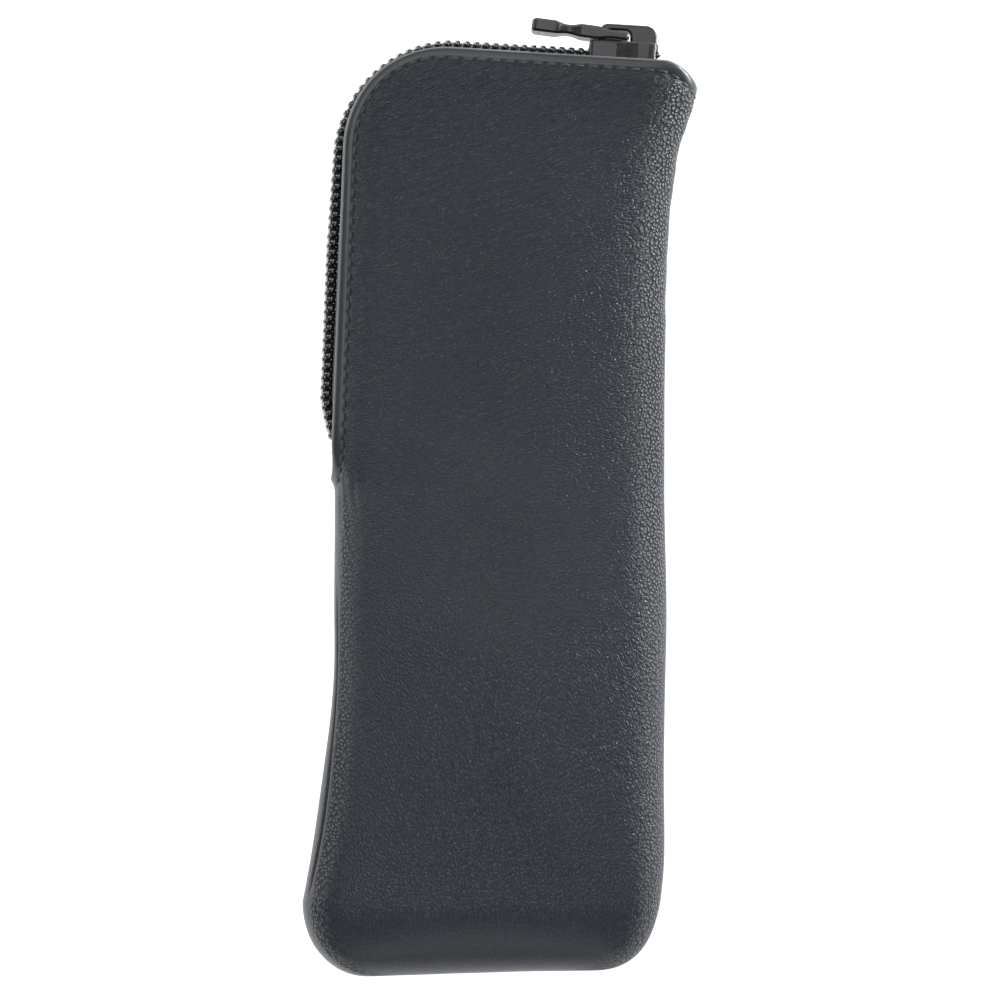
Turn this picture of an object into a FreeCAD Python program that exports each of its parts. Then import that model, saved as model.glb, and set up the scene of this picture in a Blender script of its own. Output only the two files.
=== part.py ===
import FreeCAD, Part
import math
import os

# A slim zipped pen case of soft leather, lying on its back.
# One piece of leather is folded round the right side and sewn along the bottom and the lower left.
# The zip runs up the left side, round the corner and along the top, where its slider rests closed.
# X points to the fold, Y to the zipped end, Z out of the front panel. All sizes are in millimetres.
# The origin lies on the flat of the back, half way along the case.

# Leather pouch
case_length = 162.6
waist_width = 58.2
base_flare = 5.2
base_flare_from_y = -20.0
mouth_flare = 5.2
mouth_flare_from_y = 28.0
belly_bulge = 3.4
belly_y = -15.0
leather_thickness = 1.3
hem_thickness = 2.2
hem_width = 8.0
seam_ridge = 3.0
seam_allowance = 3.9
base_corner_across = 11.0
base_corner_along = 13.0
rest_press = 0.2
hem_shoulder = 0.97
belly_shoulder = 0.77

# Zip mouth, seen from the front
zip_corner_radius = 18.5
side_lean_deg = 2.3
top_slope_deg = 3.5
side_hem_offset = 0.9
hem_end_y = 3.6
mouth_ease = 12.0
ear_radius = 6.0

# Lining and zip tapes
lining_thickness = 0.45
tape_thickness = 0.6
tape_sewn_width = 9.0
tape_recess = 0.6
tape_slit = 2.4
tape_tail = 5.0
lining_lap = 1.2
ply_gap = 0.12

# Zip coils
coil_pitch = 1.67
coil_filament = 0.62
coil_half_width = 2.5
coil_head_overlap = 0.5
coil_height = 2.4
coil_start_above_hem_end = 9.0
cord_diameter = 1.0
cord_sides = 8
seat_gap = 0.03

# Slider
slider_nose_x = 28.0
slider_length = 12.2
slider_plate = 1.1
slider_floor = 1.0
slider_flange = 0.55
slider_shoulder = 3.6
slider_throat = 3.8
divider_width = 1.0
divider_length = 3.6
divider_setback = 0.6
divider_tip = 0.25
plate_nose_round = 1.8
plate_tail_round = 0.8
plate_edge_bevel = 0.3
run_gap = 0.15
head_gap = 0.1
side_gap = 0.3
crown_width = 2.6
crown_height = 3.3
crown_length = 10.2
crown_post = 4.7
crown_leg = 1.2
crown_strap = 1.1
crown_setback = 0.3
crown_nose_round = 2.0
crown_tail_round = 1.5
crown_eye_round = 1.0
crown_edge_round = 0.5

# Pull
pull_length = 16.7
pull_thickness = 2.3
pull_width = 5.6
grip_width = 6.2
pull_waist_width = 4.2
pull_waist_thickness = 1.6
pull_waist_at = 10.2
pull_waist_reach = 1.9
pull_raise_deg = 4.0
eye_bar = 1.4
bar_gap = 0.2
bar_lift = 0.35
eye_gap = 0.25
grip_corner = 1.0
pull_edge_bevel = 0.4

# Stops
stop_length = 2.0
stop_jaw = 0.5
stop_gap = 0.3
stop_reach = 3.0

# Widths that follow from the chain and the slider
coil_spread = divider_width / 2 + head_gap + coil_head_overlap
tail_half = coil_half_width + run_gap + slider_flange
nose_half = tail_half + coil_spread
zip_gap = 2 * (nose_half + side_gap + tape_thickness + ply_gap)
hem_stack = zip_gap + 2 * hem_thickness
zip_plane = hem_stack / 2
waist_half = waist_width / 2
top_y = case_length / 2
bottom_y = -case_length / 2
base_y = bottom_y + base_corner_along
far = case_length
tape_outer = -tape_recess
tape_inner = tape_outer - tape_thickness
coil_base = tape_outer + seat_gap
coil_top = coil_base + coil_height
plate_under = coil_top + run_gap
plate_top = plate_under + slider_plate
floor_top = tape_inner - run_gap
tape_depth = hem_thickness + ply_gap
rim_depth = tape_depth + tape_thickness + ply_gap
bag_depth = leather_thickness + ply_gap
rim_start = slider_floor + side_gap - floor_top
bag_start = tape_sewn_width + side_gap


# The hem edge of the zip mouth: a leaning side, a round corner and a sloping top
side_lean = math.radians(side_lean_deg)
top_slope = math.radians(top_slope_deg)
side_along = FreeCAD.Vector(math.sin(side_lean), math.cos(side_lean), 0)
side_out = FreeCAD.Vector(-math.cos(side_lean), math.sin(side_lean), 0)
top_along = FreeCAD.Vector(math.cos(top_slope), -math.sin(top_slope), 0)
top_out = FreeCAD.Vector(math.sin(top_slope), math.cos(top_slope), 0)
corner_out = (side_out + top_out).normalize()
up = FreeCAD.Vector(0, 0, 1)


def side_hem_x(y):
    return -(waist_half + side_hem_offset) + y * math.tan(side_lean)


def crossing(point_a, along_a, point_b, along_b):
    """Point where two lines in the XY plane cross."""
    across = along_a.x * along_b.y - along_a.y * along_b.x
    gap = point_b - point_a
    return point_a + along_a * ((gap.x * along_b.y - gap.y * along_b.x) / across)


corner_centre = crossing(
    FreeCAD.Vector(side_hem_x(0), 0, 0) - side_out * zip_corner_radius,
    side_along,
    FreeCAD.Vector(0, top_y, 0) - top_out * zip_corner_radius,
    top_along,
)


def side_point(y, inset):
    """Point at height y on the side of the mouth outline, moved inwards by inset."""
    tangent = corner_centre + side_out * (zip_corner_radius - inset)
    return tangent + side_along * ((y - tangent.y) / side_along.y)


def top_point(x, inset):
    """Point at width x on the top of the mouth outline, moved inwards by inset."""
    tangent = corner_centre + top_out * (zip_corner_radius - inset)
    return tangent + top_along * ((x - tangent.x) / top_along.x)


def line(start, end):
    return Part.LineSegment(start, end).toShape()


def arc(start, middle, end):
    return Part.Arc(start, middle, end).toShape()


def mouth_prism(inset):
    """Upright block under the mouth outline moved inwards by inset, and open wide on the sewn sides."""
    radius = zip_corner_radius - inset
    step_y = hem_end_y - inset
    side_end = side_point(step_y, inset)
    side_tangent = corner_centre + side_out * radius
    top_tangent = corner_centre + top_out * radius
    edges = [
        line(FreeCAD.Vector(-far, step_y, 0), side_end),
        line(side_end, side_tangent),
        arc(side_tangent, corner_centre + corner_out * radius, top_tangent),
    ]
    if inset > 0:
        last = top_point(far, inset)
        edges.append(line(top_tangent, last))
    else:
        ear_start = top_point(waist_half + mouth_flare - ear_radius + side_hem_offset, inset)
        ear_centre = ear_start - top_out * ear_radius
        ear_end = ear_centre + top_along * ear_radius
        ear_middle = ear_centre + (top_out + top_along).normalize() * ear_radius
        last = FreeCAD.Vector(far, ear_end.y - ear_radius, 0)
        edges += [
            line(top_tangent, ear_start),
            arc(ear_start, ear_middle, ear_end),
            line(ear_end, last),
        ]
    right_foot = FreeCAD.Vector(far, -far, 0)
    left_foot = FreeCAD.Vector(-far, -far, 0)
    edges += [
        line(last, right_foot),
        line(right_foot, left_foot),
        line(left_foot, FreeCAD.Vector(-far, step_y, 0)),
    ]
    face = Part.Face(Part.Wire(edges))
    face.translate(FreeCAD.Vector(0, 0, -far))
    return face.extrude(FreeCAD.Vector(0, 0, 2 * far))


def mouth_ring(outer_inset, inner_inset):
    return mouth_prism(outer_inset).cut(mouth_prism(inner_inset))


# Pouch sections: flat below, round at both sides, crowned in front
def ease(share):
    share = min(max(share, 0.0), 1.0)
    return share * share * (3 - 2 * share)


def end_rounding(y):
    """0 along the case, rising to 1 at the bottom seam."""
    share = min(max((base_y - y) / base_corner_along, 0.0), 1.0)
    return 1 - math.sqrt(1 - share * share)


def left_edge(y):
    share = min(max((base_flare_from_y - y) / (base_flare_from_y - base_y), 0.0), 1.0)
    sewn = -waist_half - base_flare * share * share + base_corner_across * end_rounding(y)
    open_mouth = side_hem_x(y) - zip_plane
    return sewn + (open_mouth - sewn) * ease((y - hem_end_y) / mouth_ease)


def right_edge(y):
    ear_y = top_y - ear_radius
    share = max((y - mouth_flare_from_y) / (ear_y - mouth_flare_from_y), 0.0)
    return waist_half + mouth_flare * share ** 3 - base_corner_across * end_rounding(y)


def front_height(y):
    share = (y - belly_y) / (top_y - belly_y)
    crown = hem_stack + belly_bulge * max(1 - share * share, 0.0)
    return crown - (crown - zip_plane - seam_ridge / 2) * end_rounding(y)


def back_height(y):
    return (zip_plane - seam_ridge / 2 + rest_press) * end_rounding(y) - rest_press


def pouch_section(y, inset):
    """Closed outline of the pouch across Y: a line and five arcs, or their chords where it is moved inwards."""
    left = left_edge(y) + inset
    right = right_edge(y) - inset
    low = back_height(y) + inset
    front = front_height(y) - inset
    middle = (left + right) / 2
    rise = front - zip_plane
    under = zip_plane - low
    bulge_share = max(front_height(y) - hem_stack, 0.0) / belly_bulge
    shoulder = (rise + inset) * (hem_shoulder + (belly_shoulder - hem_shoulder) * bulge_share) - inset
    half = (right - left) / 2 - shoulder
    crown_radius = (half ** 2 + rise ** 2 - shoulder ** 2) / (2 * (rise - shoulder))
    lean = math.atan2(half, crown_radius - rise)
    turn = math.pi / 2 - lean

    def at(x, z):
        return FreeCAD.Vector(x, y, z)

    def shoulder_point(side, share):
        edge = right if side > 0 else left
        reach = shoulder * (1 - math.cos(turn * share))
        return at(edge - side * reach, zip_plane + shoulder * math.sin(turn * share))

    def crown_point(share):
        angle = lean * share
        return at(middle + crown_radius * math.sin(angle), front - crown_radius * (1 - math.cos(angle)))

    def heel_point(side, share):
        edge = right if side > 0 else left
        reach = under * (1 - math.cos(math.pi / 2 * share))
        return at(edge - side * reach, zip_plane - under * math.sin(math.pi / 2 * share))

    bends = [
        [heel_point(1, 1), heel_point(1, 0.5), heel_point(1, 0)],
        [shoulder_point(1, 0), shoulder_point(1, 0.5), shoulder_point(1, 1)],
        [crown_point(1), crown_point(0.5), crown_point(0), crown_point(-0.5), crown_point(-1)],
        [shoulder_point(-1, 1), shoulder_point(-1, 0.5), shoulder_point(-1, 0)],
        [heel_point(-1, 0), heel_point(-1, 0.5), heel_point(-1, 1)],
    ]
    if inset > 0:
        corners = [point for bend in bends for point in bend[:-1]] + [bends[-1][-1], bends[0][0]]
        return Part.makePolygon(corners)
    edges = [arc(bend[0], bend[len(bend) // 2], bend[-1]) for bend in bends]
    return Part.Wire(edges + [line(bends[-1][-1], bends[0][0])])


def spaced(start, end, steps):
    """Heights from start to end in equal steps, both ends included."""
    return [start + (end - start) * step / steps for step in range(steps + 1)]


def pouch(inset):
    """Solid of the whole pouch moved inwards by inset. An inner one starts above the seam allowance."""
    if inset > 0:
        ends = spaced(bottom_y + seam_allowance + inset, base_y, 2)
    else:
        ends = [base_y - base_corner_along * share for share in (1.0, 0.9, 0.7, 0.4, 0.0)]
    sewn = ends[:-1] + spaced(base_y, hem_end_y, 4)
    mouth = spaced(hem_end_y, hem_end_y + mouth_ease, 4)
    heights = sewn[:-1] + mouth[:-1] + spaced(mouth[-1], top_y + ear_radius, 4)
    return Part.makeLoft([pouch_section(y, inset) for y in heights], True, True)


def make_leather_body():
    table = Part.makeBox(2 * far, 2 * far, far, FreeCAD.Vector(-far, -far, -far))
    body = pouch(0).cut(table).common(mouth_prism(0))
    body = body.cut(pouch(hem_thickness))
    return body.cut(pouch(leather_thickness).common(mouth_prism(hem_width)))


def make_lining():
    """Bag against the leather, stepped in and brought up under the tapes."""
    rim_inner = pouch(rim_depth + lining_thickness)
    bag_outer = pouch(bag_depth)
    bag = bag_outer.cut(pouch(bag_depth + lining_thickness)).common(mouth_prism(bag_start))
    rim = pouch(rim_depth).cut(rim_inner).common(mouth_ring(rim_start, bag_start + lining_lap))
    riser = bag_outer.cut(rim_inner).common(mouth_ring(bag_start, bag_start + lining_lap))
    return bag.fuse([rim, riser]).removeSplitter()


def make_tape(side):
    """Tape on the front (side 1) or the back (side -1): a strip across the mouth, turned in under the hem."""
    outer = pouch(tape_depth)
    sewn = outer.cut(pouch(tape_depth + tape_thickness)).common(mouth_ring(tape_recess, tape_sewn_width))
    strip = outer.common(mouth_ring(tape_recess, tape_recess + tape_thickness))
    low = zip_plane + tape_slit / 2 if side > 0 else zip_plane - tape_slit / 2 - far
    tape_low_y = hem_end_y + coil_start_above_hem_end - tape_tail
    room = Part.makeBox(
        far + slider_nose_x + tape_tail, 2 * far, far, FreeCAD.Vector(-far, tape_low_y, low)
    )
    return sewn.fuse(strip).common(room).removeSplitter()


# Path of the chain along the hem edge, by length from its lower end
side_tangent = corner_centre + side_out * zip_corner_radius
top_tangent = corner_centre + top_out * zip_corner_radius
chain_start = side_point(hem_end_y + coil_start_above_hem_end, 0)
nose_point = top_point(slider_nose_x, 0)
side_run = (side_tangent - chain_start).Length
corner_turn = side_out.getAngle(top_out)
corner_run = zip_corner_radius * corner_turn
top_run = (nose_point - top_tangent).Length
chain_length = side_run + corner_run + top_run


def chain_frame(distance):
    """Place, direction and outward normal on the hem edge at a distance along the chain."""
    if distance < side_run:
        return chain_start + side_along * distance, side_along, side_out
    if distance > side_run + corner_run:
        return top_tangent + top_along * (distance - side_run - corner_run), top_along, top_out
    turn = FreeCAD.Rotation(up, -math.degrees((distance - side_run) / zip_corner_radius))
    out = turn.multVec(side_out)
    return corner_centre + out * zip_corner_radius, turn.multVec(side_along), out


def placed(shape, place, along, out, lift):
    """The shape, made with X along, Y outwards and Z up, set at a place on the hem edge."""
    moved = shape.copy()
    matrix = FreeCAD.Matrix(
        along.x, out.x, 0, place.x,
        along.y, out.y, 0, place.y,
        0, 0, 1, place.z + lift,
        0, 0, 0, 1,
    )
    moved.transformShape(matrix)
    return moved


def polygon_block(points, start, end, axis):
    """Block with a polygon outline, extruded along axis from start to end."""
    wire = Part.makePolygon(points + [points[0]])
    wire.translate(axis * start)
    return Part.Face(wire).extrude(axis * (end - start))


x_axis = FreeCAD.Vector(1, 0, 0)
y_axis = FreeCAD.Vector(0, 1, 0)
throat_start = -slider_shoulder - slider_throat


def spread_at(from_nose):
    """How far a coil stands aside for the divider, by place along the slider."""
    return coil_spread * min(max((from_nose - throat_start) / slider_throat, 0.0), 1.0)


def coil_loop(side, shift):
    """One loop of a coil round its cord: two legs and a head, open at the root."""
    head = shift - coil_head_overlap
    root = shift + coil_half_width
    eye = head + coil_filament
    corners = [
        (coil_base, head), (coil_base, root),
        (coil_base + coil_filament, root), (coil_base + coil_filament, eye),
        (coil_top - coil_filament, eye), (coil_top - coil_filament, root),
        (coil_top, root), (coil_top, head),
    ]
    points = [FreeCAD.Vector(0, out, side * across) for out, across in corners]
    return polygon_block(points, -coil_filament / 2, coil_filament / 2, x_axis)


def coil_link(side, start, end):
    """Return leg along the root, from one loop to the next."""
    (place_a, root_a), (place_b, root_b) = start, end
    points = []
    for place, root in ((place_a, root_a), (place_a, root_a - coil_filament),
                        (place_b, root_b - coil_filament), (place_b, root_b)):
        points.append(place + up * (zip_plane + side * root))
    along = (place_b - place_a).normalize()
    out = FreeCAD.Vector(-along.y, along.x, 0)
    wire = Part.makePolygon(points + [points[0]])
    wire.translate(out * coil_base)
    return Part.Face(wire).extrude(out * coil_filament)


def make_coil(side):
    """Front coil (side 1) or back coil (side -1); the back one is half a pitch further on."""
    first = coil_pitch / 2 if side > 0 else coil_pitch
    count = int((chain_length - first - divider_setback) / coil_pitch) + 1
    loops = []
    roots = []
    for index in range(count):
        distance = first + index * coil_pitch
        place, along, out = chain_frame(distance)
        shift = spread_at(distance - chain_length)
        loops.append(placed(coil_loop(side, shift), place, along, out, zip_plane))
        roots.append((place, coil_half_width + shift))
    links = [coil_link(side, roots[index], roots[index + 1]) for index in range(count - 1)]
    return loops[0].fuse(loops[1:] + links).removeSplitter()


def make_cord(side):
    """Filler cord inside a coil, from the lower end to the slider, where the coils part."""
    out_by = coil_base + coil_height / 2
    across = side * (coil_half_width - cord_diameter / 2)
    level = up * (zip_plane + across)
    start = chain_start + side_out * out_by + level
    side_end = corner_centre + side_out * (zip_corner_radius + out_by) + level
    top_start = corner_centre + top_out * (zip_corner_radius + out_by) + level
    end = nose_point + top_out * out_by + top_along * throat_start + level
    ring = []
    for step in range(cord_sides):
        angle = 2 * math.pi * (step + 0.5) / cord_sides
        around = side_out * math.cos(angle) + up * math.sin(angle)
        ring.append(start + around * (cord_diameter / 2))
    section = Part.Face(Part.makePolygon(ring + [ring[0]]))
    side_stretch = section.extrude(side_end - start)
    section.translate(side_end - start)
    bend = section.revolve(corner_centre + level, -up, math.degrees(corner_turn))
    section.rotate(corner_centre + level, -up, math.degrees(corner_turn))
    top_stretch = section.extrude(end - top_start)
    return side_stretch.fuse([bend, top_stretch])


# Slider, made with its nose at the origin, X towards the nose, Y outwards and Z across the zip
def slider_outline(tail, nose):
    return [
        FreeCAD.Vector(-slider_length, 0, -tail),
        FreeCAD.Vector(throat_start, 0, -tail),
        FreeCAD.Vector(-slider_shoulder, 0, -nose),
        FreeCAD.Vector(0, 0, -nose),
        FreeCAD.Vector(0, 0, nose),
        FreeCAD.Vector(-slider_shoulder, 0, nose),
        FreeCAD.Vector(throat_start, 0, tail),
        FreeCAD.Vector(-slider_length, 0, tail),
    ]


def slider_slab(low, high):
    """Plate of the slider's plan between two heights, with rounded corners."""
    slab = polygon_block(slider_outline(tail_half, nose_half), low, high, y_axis)
    for end, radius in ((0, plate_nose_round), (-slider_length, plate_tail_round)):
        corners = [
            edge for edge in slab.Edges
            if abs(edge.BoundBox.XMin - end) + edge.BoundBox.XLength + edge.BoundBox.ZLength < seat_gap
        ]
        slab = slab.makeFillet(radius, corners)
    return slab


def rim_bevelled(slab, level):
    """The plate with the edge of its outer face bevelled."""
    rim = [
        edge for edge in slab.Edges
        if abs(edge.BoundBox.YMin - level) + edge.BoundBox.YLength < seat_gap
    ]
    return slab.makeChamfer(plate_edge_bevel, rim)


def make_crown():
    """Hooked bridge on the slider: a thick post at the nose and a thin leg at the tail."""
    root = plate_top - slider_plate / 2
    post_front = -crown_setback
    post_back = post_front - crown_post
    leg_back = post_front - crown_length
    leg_front = leg_back + crown_leg
    crest = plate_top + crown_height
    soffit = crest - crown_strap
    corners = [
        (post_front, root), (post_front, crest), (leg_back, crest), (leg_back, root),
        (leg_front, root), (leg_front, soffit), (post_back, soffit), (post_back, root),
    ]
    points = [FreeCAD.Vector(x, y, 0) for x, y in corners]
    crown = polygon_block(points, -crown_width / 2, crown_width / 2, up)
    bends = (
        (post_front, crest, crown_nose_round), (leg_back, crest, crown_tail_round),
        (leg_front, soffit, crown_eye_round), (post_back, soffit, crown_eye_round),
    )
    for x, y, radius in bends:
        corner = [
            edge for edge in crown.Edges
            if math.hypot(edge.BoundBox.XMax - x, edge.BoundBox.YMax - y) < seat_gap
            and edge.BoundBox.ZLength > crown_width / 2
        ]
        crown = crown.makeFillet(radius, corner)
    outline = [
        edge for edge in crown.Edges
        if edge.BoundBox.ZLength < seat_gap and edge.BoundBox.YMax > root + seat_gap
    ]
    return crown.makeFillet(crown_edge_round, outline)


def make_slider_body():
    floor_under = floor_top - slider_floor
    plate = rim_bevelled(slider_slab(plate_under, plate_top), plate_top)
    floor = rim_bevelled(slider_slab(floor_under, floor_top), floor_under)
    skirt = slider_slab(tape_outer + run_gap, plate_under)
    channel = slider_outline(tail_half - slider_flange, nose_half - slider_flange)
    for index, end in ((0, -1), (3, 1), (4, 1), (7, -1)):
        channel[index] = channel[index] + x_axis * (end * slider_length)
    skirt = skirt.cut(polygon_block(channel, floor_top, plate_under, y_axis))
    tip = -divider_setback - divider_length
    wide = -divider_setback - divider_length / 2
    half = divider_width / 2
    tip_half = divider_tip / 2
    divider = polygon_block(
        [
            FreeCAD.Vector(tip, 0, -tip_half), FreeCAD.Vector(wide, 0, -half),
            FreeCAD.Vector(-divider_setback, 0, -half), FreeCAD.Vector(-divider_setback, 0, half),
            FreeCAD.Vector(wide, 0, half), FreeCAD.Vector(tip, 0, tip_half),
        ],
        floor_top - slider_floor / 2, plate_under + slider_plate / 2, y_axis,
    )
    body = plate.fuse([floor, skirt, divider, make_crown()]).removeSplitter()
    return placed(body, nose_point, top_along, top_out, zip_plane)


# Pull, made with its bar at the origin and X towards the grip
pivot_along = -crown_setback - crown_post - bar_gap - eye_bar / 2
pivot_out = plate_top + bar_lift + eye_bar / 2
pivot = nose_point + top_along * pivot_along + top_out * pivot_out + up * zip_plane
eye_end = crown_length - crown_post - bar_gap - eye_bar / 2 + eye_gap
eye_half = crown_width / 2 + eye_gap


def mirrored_outline(stretches, place):
    """Closed wire from stretches given on one side of the long axis and repeated on the other."""
    edges = []
    for flip in (1, -1):
        for stretch in stretches:
            points = [place(x, flip * half) for x, half in stretch]
            edges.append(line(*points) if len(points) == 2 else arc(*points))
    for x, half in (stretches[0][0], stretches[-1][-1]):
        if half > 0:
            edges.append(line(place(x, half), place(x, -half)))
    return Part.Wire(Part.__sortEdges__(edges))


def make_zip_pull():
    bar = eye_bar / 2
    thick = pull_thickness / 2
    neck = pull_waist_at - pull_waist_reach
    grip = pull_waist_at + pull_waist_reach
    slant = math.sqrt(0.5)
    side_view = mirrored_outline(
        [
            [(-bar, 0), (-bar * slant, bar * slant), (0, bar)],
            [(0, bar), (eye_end / 2, bar)],
            [(eye_end / 2, bar), (eye_end, thick)],
            [(eye_end, thick), (neck, thick)],
            [(neck, thick), (pull_waist_at, pull_waist_thickness / 2), (grip, thick)],
            [(grip, thick), (pull_length, thick)],
        ],
        lambda x, half: FreeCAD.Vector(x, half, -grip_width),
    )
    grip_half = grip_width / 2
    corner_reach = grip_corner * (1 - slant)
    front_view = mirrored_outline(
        [
            [(-bar, pull_width / 2), (neck, pull_width / 2)],
            [(neck, pull_width / 2), (pull_waist_at, pull_waist_width / 2), (grip, grip_half)],
            [(grip, grip_half), (pull_length - grip_corner, grip_half)],
            [
                (pull_length - grip_corner, grip_half),
                (pull_length - corner_reach, grip_half - corner_reach),
                (pull_length, grip_half - grip_corner),
            ],
        ],
        lambda x, half: FreeCAD.Vector(x, -grip_width, half),
    )
    block = Part.Face(side_view).extrude(FreeCAD.Vector(0, 0, 2 * grip_width))
    plan = Part.Face(front_view).extrude(FreeCAD.Vector(0, 2 * grip_width, 0))
    eye = Part.makeBox(
        eye_end, 2 * pull_thickness, 2 * eye_half, FreeCAD.Vector(0, -pull_thickness, -eye_half)
    )
    round_bar = Part.makeCylinder(bar, 2 * eye_half, FreeCAD.Vector(0, 0, -eye_half), up)
    pull = block.common(plan)
    pull = pull.makeChamfer(pull_edge_bevel, pull.Edges).cut(eye.cut(round_bar))
    raised = FreeCAD.Rotation(up, -pull_raise_deg)
    along = raised.multVec(top_along * -1)
    out = FreeCAD.Vector(-along.y, along.x, 0)
    return placed(pull, pivot, along, out, 0)


# Stops, clipped over the tape edges at both ends of the chain
def clip_outline(side, near):
    """Jaws over one tape edge, closed towards the middle of the zip."""
    jaw_out = tape_outer + seat_gap
    jaw_in = tape_inner - seat_gap
    edge = tape_slit / 2 - seat_gap
    corners = [
        (jaw_out + stop_jaw, near), (jaw_out + stop_jaw, stop_reach), (jaw_out, stop_reach),
        (jaw_out, edge), (jaw_in, edge), (jaw_in, stop_reach),
        (jaw_in - stop_jaw, stop_reach), (jaw_in - stop_jaw, near),
    ]
    return [FreeCAD.Vector(0, out, side * across) for out, across in corners]


def make_top_stop(side):
    clip = polygon_block(clip_outline(side, divider_width / 2), stop_gap, stop_gap + stop_length, x_axis)
    return placed(clip, nose_point, top_along, top_out, zip_plane)


def make_bottom_stop():
    halves = []
    for side in (1, -1):
        halves.append(polygon_block(clip_outline(side, 0), -stop_gap - stop_length, -stop_gap, x_axis))
    staple = halves[0].fuse(halves[1]).removeSplitter()
    return placed(staple, chain_start, side_along, side_out, zip_plane)


pieces = {
    "leather_body": make_leather_body(),
    "lining": make_lining(),
    "zip_tape_front": make_tape(1),
    "zip_tape_back": make_tape(-1),
    "zip_coil_front": make_coil(1),
    "zip_coil_back": make_coil(-1),
    "coil_cord_front": make_cord(1),
    "coil_cord_back": make_cord(-1),
    "top_stop_front": make_top_stop(1),
    "top_stop_back": make_top_stop(-1),
    "bottom_stop": make_bottom_stop(),
    "slider_body": make_slider_body(),
    "zip_pull": make_zip_pull(),
}

os.makedirs("parts", exist_ok=True)
for name, shape in pieces.items():
    print(name, len(shape.Solids), shape.isValid(), round(shape.Volume, 3), shape.BoundBox)
    shape.exportStep("parts/" + name + ".step")

tail_point = nose_point - top_along * slider_length
print("slide axis", tuple(-top_along), "travel", round((tail_point - top_tangent).Length, 3))
print("pull pivot", tuple(pivot))
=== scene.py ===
import math
from types import SimpleNamespace

import bmesh
import bpy
import numpy as np
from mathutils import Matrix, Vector, noise
from mathutils.geometry import delaunay_2d_cdt
from mathutils.kdtree import KDTree


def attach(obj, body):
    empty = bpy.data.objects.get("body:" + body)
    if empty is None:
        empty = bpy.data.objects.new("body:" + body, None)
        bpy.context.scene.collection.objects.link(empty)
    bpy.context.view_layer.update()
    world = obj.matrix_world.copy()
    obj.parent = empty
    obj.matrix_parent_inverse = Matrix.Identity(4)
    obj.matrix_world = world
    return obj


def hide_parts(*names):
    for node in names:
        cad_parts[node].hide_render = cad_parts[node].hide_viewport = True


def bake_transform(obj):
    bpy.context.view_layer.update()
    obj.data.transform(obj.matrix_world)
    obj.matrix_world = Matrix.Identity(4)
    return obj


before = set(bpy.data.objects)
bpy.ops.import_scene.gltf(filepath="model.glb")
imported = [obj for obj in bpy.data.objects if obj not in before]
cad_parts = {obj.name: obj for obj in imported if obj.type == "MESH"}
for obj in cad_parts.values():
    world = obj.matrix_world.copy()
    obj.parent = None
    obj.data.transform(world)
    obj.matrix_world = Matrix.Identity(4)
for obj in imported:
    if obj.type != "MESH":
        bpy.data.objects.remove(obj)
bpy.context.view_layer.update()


# Leather pouch: one piece of soft pebbled leather, folded round the right side, sewn along the bottom
# and the lower left and turned out. Both edges of the zip mouth are folded over to a pressed hem.
# It is cut as a flat pattern, with p round the case from the fold and t along it, in millimetres.
MM = 0.001
top_y = 81.3
waist_half = 29.1
base_flare = 5.2
base_flare_from_y = -20.0
mouth_flare = 5.2
mouth_flare_from_y = 28.0
belly_bulge = 3.4
belly_y = -15.0
hem_thickness = 2.2
seam_ridge = 3.0
base_corner_across = 11.0
base_corner_along = 13.0
rest_press = 0.2
hem_shoulder = 0.97
belly_shoulder = 0.77
zip_corner_radius = 18.5
side_lean = math.radians(2.3)
top_slope = math.radians(3.5)
side_hem_offset = 0.9
hem_end_y = 3.6
mouth_ease = 12.0
ear_radius = 6.0
zip_plane = 7.52
hem_stack = 2 * zip_plane
base_y = base_corner_along - top_y
end_arc = 11.0
pattern_bottom = base_y - end_arc * math.pi / 2


def ease(share):
    share = np.clip(share, 0.0, 1.0)
    return share * share * (3 - 2 * share)


def rise(value, start, length):
    """Share that eases from 0 at the start to 1 a length on, or downwards with a negative length."""
    return ease((value - start) / length)


def bell(value, centre, width, power=2):
    """Share that is 1 at the centre and fades away on both sides of it."""
    return np.exp(-(((value - centre) / width) ** power))


def side_hem_x(y):
    return -(waist_half + side_hem_offset) + y * math.tan(side_lean)


def end_rounding(y):
    share = np.clip((base_y - y) / base_corner_along, 0.0, 1.0)
    return 1 - np.sqrt(1 - share * share)


def left_edge(y):
    share = np.clip((base_flare_from_y - y) / (base_flare_from_y - base_y), 0.0, 1.0)
    sewn = -waist_half - base_flare * share**2 + base_corner_across * end_rounding(y)
    open_mouth = side_hem_x(y) - zip_plane
    return sewn + (open_mouth - sewn) * ease((y - hem_end_y) / mouth_ease)


def right_edge(y):
    share = np.maximum((y - mouth_flare_from_y) / (top_y - ear_radius - mouth_flare_from_y), 0.0)
    return waist_half + mouth_flare * share**3 - base_corner_across * end_rounding(y)


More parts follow.
